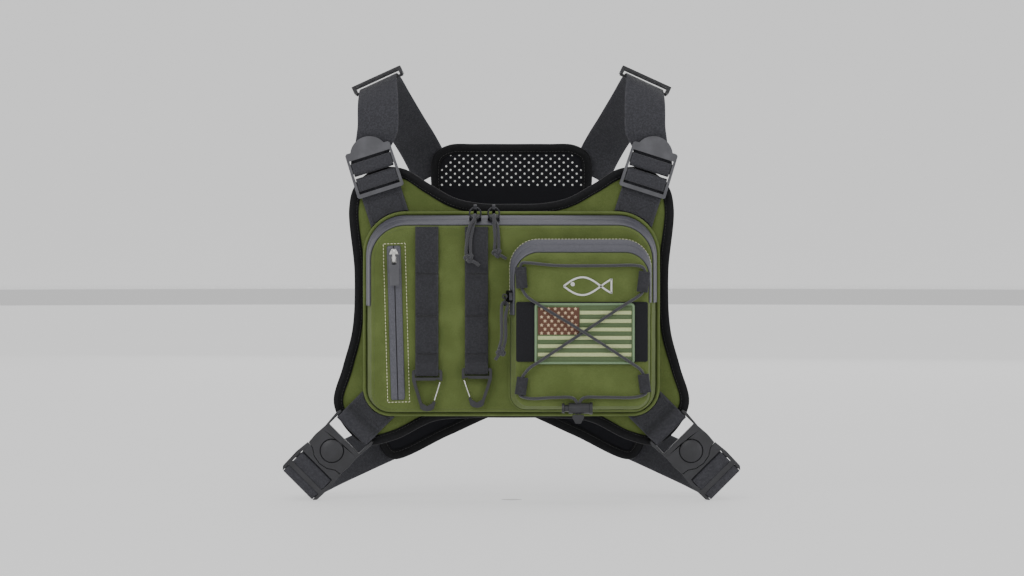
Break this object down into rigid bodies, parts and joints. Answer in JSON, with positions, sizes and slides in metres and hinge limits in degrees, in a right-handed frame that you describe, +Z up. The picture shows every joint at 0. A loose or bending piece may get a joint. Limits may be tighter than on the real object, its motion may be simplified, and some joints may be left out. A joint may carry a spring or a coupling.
{
  "type": "fishing chest vest",
  "caption": "Chest rig for angling: padded panel with two zipped pockets, elastic lacing, gear loops and webbing straps that buckle to a perforated back panel.",
  "frame": {"origin": "centre of the chest panel's back face, where it lies on the wearer's chest", "axes": "-Y is the front of the rig, +Y runs through the wearer to the back panel, +Z is up, +X is to the right as seen from the front"},
  "size_m": [0.4266, 0.2054, 0.4054],
  "materials": {
    "olive_nylon": "matte woven nylon",
    "black_webbing": "ribbed woven nylon",
    "black_binding": "folded grosgrain",
    "perforated_foam": "perforated knitted foam",
    "hook_and_loop": "brushed loop pile",
    "embroidery": "satin-stitch embroidery",
    "coated_zipper": "water-resistant coated tape, satin",
    "black_acetal": "fine-textured moulding",
    "grey_acetal": "satin moulding",
    "black_zinc": "black plated",
    "bright_steel": "bright wire and die casting",
    "black_cord": "braided sheath"
  },
  "bodies": {
    "vest": {"chest_panel": "olive_nylon", "main_pocket_gusset": "olive_nylon", "main_pocket_front": "olive_nylon", "main_pocket_piping": "olive_nylon", "front_pocket_gusset": "olive_nylon", "front_pocket_front": "olive_nylon", "molle_strap_left": "black_webbing", "molle_strap_right": "black_webbing", "bungee_tab_upper_left": "black_webbing", "bungee_tab_upper_right": "black_webbing", "bungee_tab_lower_left": "black_webbing", "bungee_tab_lower_right": "black_webbing", "shoulder_tab_right": "black_webbing", "shoulder_tab_left": "black_webbing", "shoulder_strap_right": "black_webbing", "shoulder_strap_left": "black_webbing", "side_tab_right": "black_webbing", "side_tab_left": "black_webbing", "side_strap_right": "black_webbing", "side_strap_left": "black_webbing", "chest_binding": "black_binding", "back_binding": "black_binding", "back_panel": "perforated_foam", "loop_panel": "hook_and_loop", "patch": "embroidery", "main_zipper_tape": "coated_zipper", "front_zipper_tape": "coated_zipper", "slit_zipper_tape": "coated_zipper", "cord_lock_body": "black_acetal", "cord_end": "black_acetal", "tri_glide_right": "black_acetal", "tri_glide_left": "black_acetal", "buckle_socket_right": "black_acetal", "buckle_socket_left": "black_acetal", "cord_lock_spring": "bright_steel", "bungee_cord": "black_cord"},
    "main_slider_left": {"main_slider_left": "black_zinc"},
    "main_pull_left": {"main_ring_left": "black_zinc", "main_pull_left": "black_cord"},
    "main_slider_right": {"main_slider_right": "black_zinc"},
    "main_pull_right": {"main_ring_right": "black_zinc", "main_pull_right": "black_cord"},
    "front_slider": {"front_slider": "black_zinc"},
    "front_pull": {"front_ring": "black_zinc", "front_pull": "black_cord"},
    "slit_slider": {"slit_slider": "bright_steel"},
    "slit_pull": {"slit_pull": "grey_acetal"},
    "carabiner_left": {"carabiner_left": "black_acetal"},
    "carabiner_right": {"carabiner_right": "black_acetal"},
    "gate_left": {"gate_left": "bright_steel"},
    "gate_right": {"gate_right": "bright_steel"},
    "cord_lock_plunger": {"cord_lock_plunger": "black_acetal"},
    "buckle_button_left": {"buckle_button_left": "black_acetal"},
    "buckle_button_right": {"buckle_button_right": "black_acetal"},
    "buckle_plug_left": {"buckle_plug_left": "black_acetal"},
    "buckle_plug_right": {"buckle_plug_right": "black_acetal"},
    "ladder_lock_left": {"ladder_lock_left": "grey_acetal"},
    "ladder_lock_right": {"ladder_lock_right": "grey_acetal"}
  },
  "joints": [
    {"name": "main_slider_left_slide", "type": "slide", "parent": "vest", "child": "main_slider_left", "axis": [-1, 0, 0], "range_m": [0, 0.05]},
    {"name": "main_slider_right_slide", "type": "slide", "parent": "vest", "child": "main_slider_right", "axis": [1, 0, 0], "range_m": [0, 0.11], "deforming": ["main_pull_right"]},
    {"name": "main_pull_left_swing", "type": "hinge", "parent": "main_slider_left", "child": "main_pull_left", "pos_m": [-0.0335, -0.04821, 0.09909], "axis": [-1, 0, 0], "range_deg": [0, 100]},
    {"name": "main_pull_right_swing", "type": "hinge", "parent": "main_slider_right", "child": "main_pull_right", "pos_m": [-0.0164, -0.04821, 0.09909], "axis": [-1, 0, 0], "range_deg": [0, 100]},
    {"name": "front_slider_slide", "type": "slide", "parent": "vest", "child": "front_slider", "axis": [0, 0, 1], "range_m": [0, 0.024]},
    {"name": "front_pull_swing", "type": "hinge", "parent": "front_slider", "child": "front_pull", "pos_m": [-0.00617, -0.06696, 0.0175], "axis": [0, 1, 0], "range_deg": [0, 100]},
    {"name": "slit_slider_slide", "type": "slide", "parent": "vest", "child": "slit_slider", "axis": [0.0279, 0, -0.9996], "range_m": [0, 0.115]},
    {"name": "slit_pull_swing", "type": "hinge", "parent": "slit_slider", "child": "slit_pull", "pos_m": [-0.10864, -0.0538, 0.05498], "axis": [-0.9996, 0, -0.0279], "range_deg": [0, 100]},
    {"name": "carabiner_left_swing", "type": "hinge", "parent": "vest", "child": "carabiner_left", "pos_m": [-0.0779, -0.0518, -0.0523], "axis": [-1, 0, 0], "range_deg": [0, 95]},
    {"name": "carabiner_right_swing", "type": "hinge", "parent": "vest", "child": "carabiner_right", "pos_m": [-0.0319, -0.0518, -0.0506], "axis": [-1, 0, 0], "range_deg": [0, 95]},
    {"name": "gate_left_opening", "type": "hinge", "parent": "carabiner_left", "child": "gate_left", "pos_m": [-0.066, -0.0518, -0.0619], "axis": [0, 1, 0], "range_deg": [0, 25], "stiffness_Nm_per_rad": 0.02, "springref_deg": -11.46},
    {"name": "gate_right_opening", "type": "hinge", "parent": "carabiner_right", "child": "gate_right", "pos_m": [-0.0438, -0.0518, -0.0602], "axis": [0, -1, 0], "range_deg": [0, 25], "stiffness_Nm_per_rad": 0.02, "springref_deg": -11.46},
    {"name": "cord_lock_press", "type": "slide", "parent": "vest", "child": "cord_lock_plunger", "axis": [1, 0, 0], "range_m": [0, 0.0035], "stiffness_N_per_m": 400, "springref_m": -0.002, "deforming": ["cord_lock_spring"]},
    {"name": "buckle_button_left_press", "type": "slide", "parent": "vest", "child": "buckle_button_left", "axis": [0, 1, 0], "range_m": [0, 0.0017], "stiffness_N_per_m": 500, "springref_m": -0.001},
    {"name": "buckle_button_right_press", "type": "slide", "parent": "vest", "child": "buckle_button_right", "axis": [0, 1, 0], "range_m": [0, 0.0017], "stiffness_N_per_m": 500, "springref_m": -0.001},
    {"name": "buckle_left_release", "type": "slide", "parent": "vest", "child": "buckle_plug_left", "axis": [-0.7071, 0, -0.7071], "range_m": [0, 0.035], "deforming": ["side_strap_left"]},
    {"name": "buckle_right_release", "type": "slide", "parent": "vest", "child": "buckle_plug_right", "axis": [0.7071, 0, -0.7071], "range_m": [0, 0.035], "deforming": ["side_strap_right"]},
    {"name": "ladder_lock_left_tilt", "type": "hinge", "parent": "vest", "child": "ladder_lock_left", "pos_m": [-0.1219, -0.01, 0.1148], "axis": [0.9527, 0, 0.3039], "range_deg": [0, 35], "deforming": ["shoulder_tab_left", "shoulder_strap_left"]},
    {"name": "ladder_lock_right_tilt", "type": "hinge", "parent": "vest", "child": "ladder_lock_right", "pos_m": [0.1219, -0.01, 0.1148], "axis": [0.9527, 0, -0.3039], "range_deg": [0, 35], "deforming": ["shoulder_tab_right", "shoulder_strap_right"]}
  ]
}
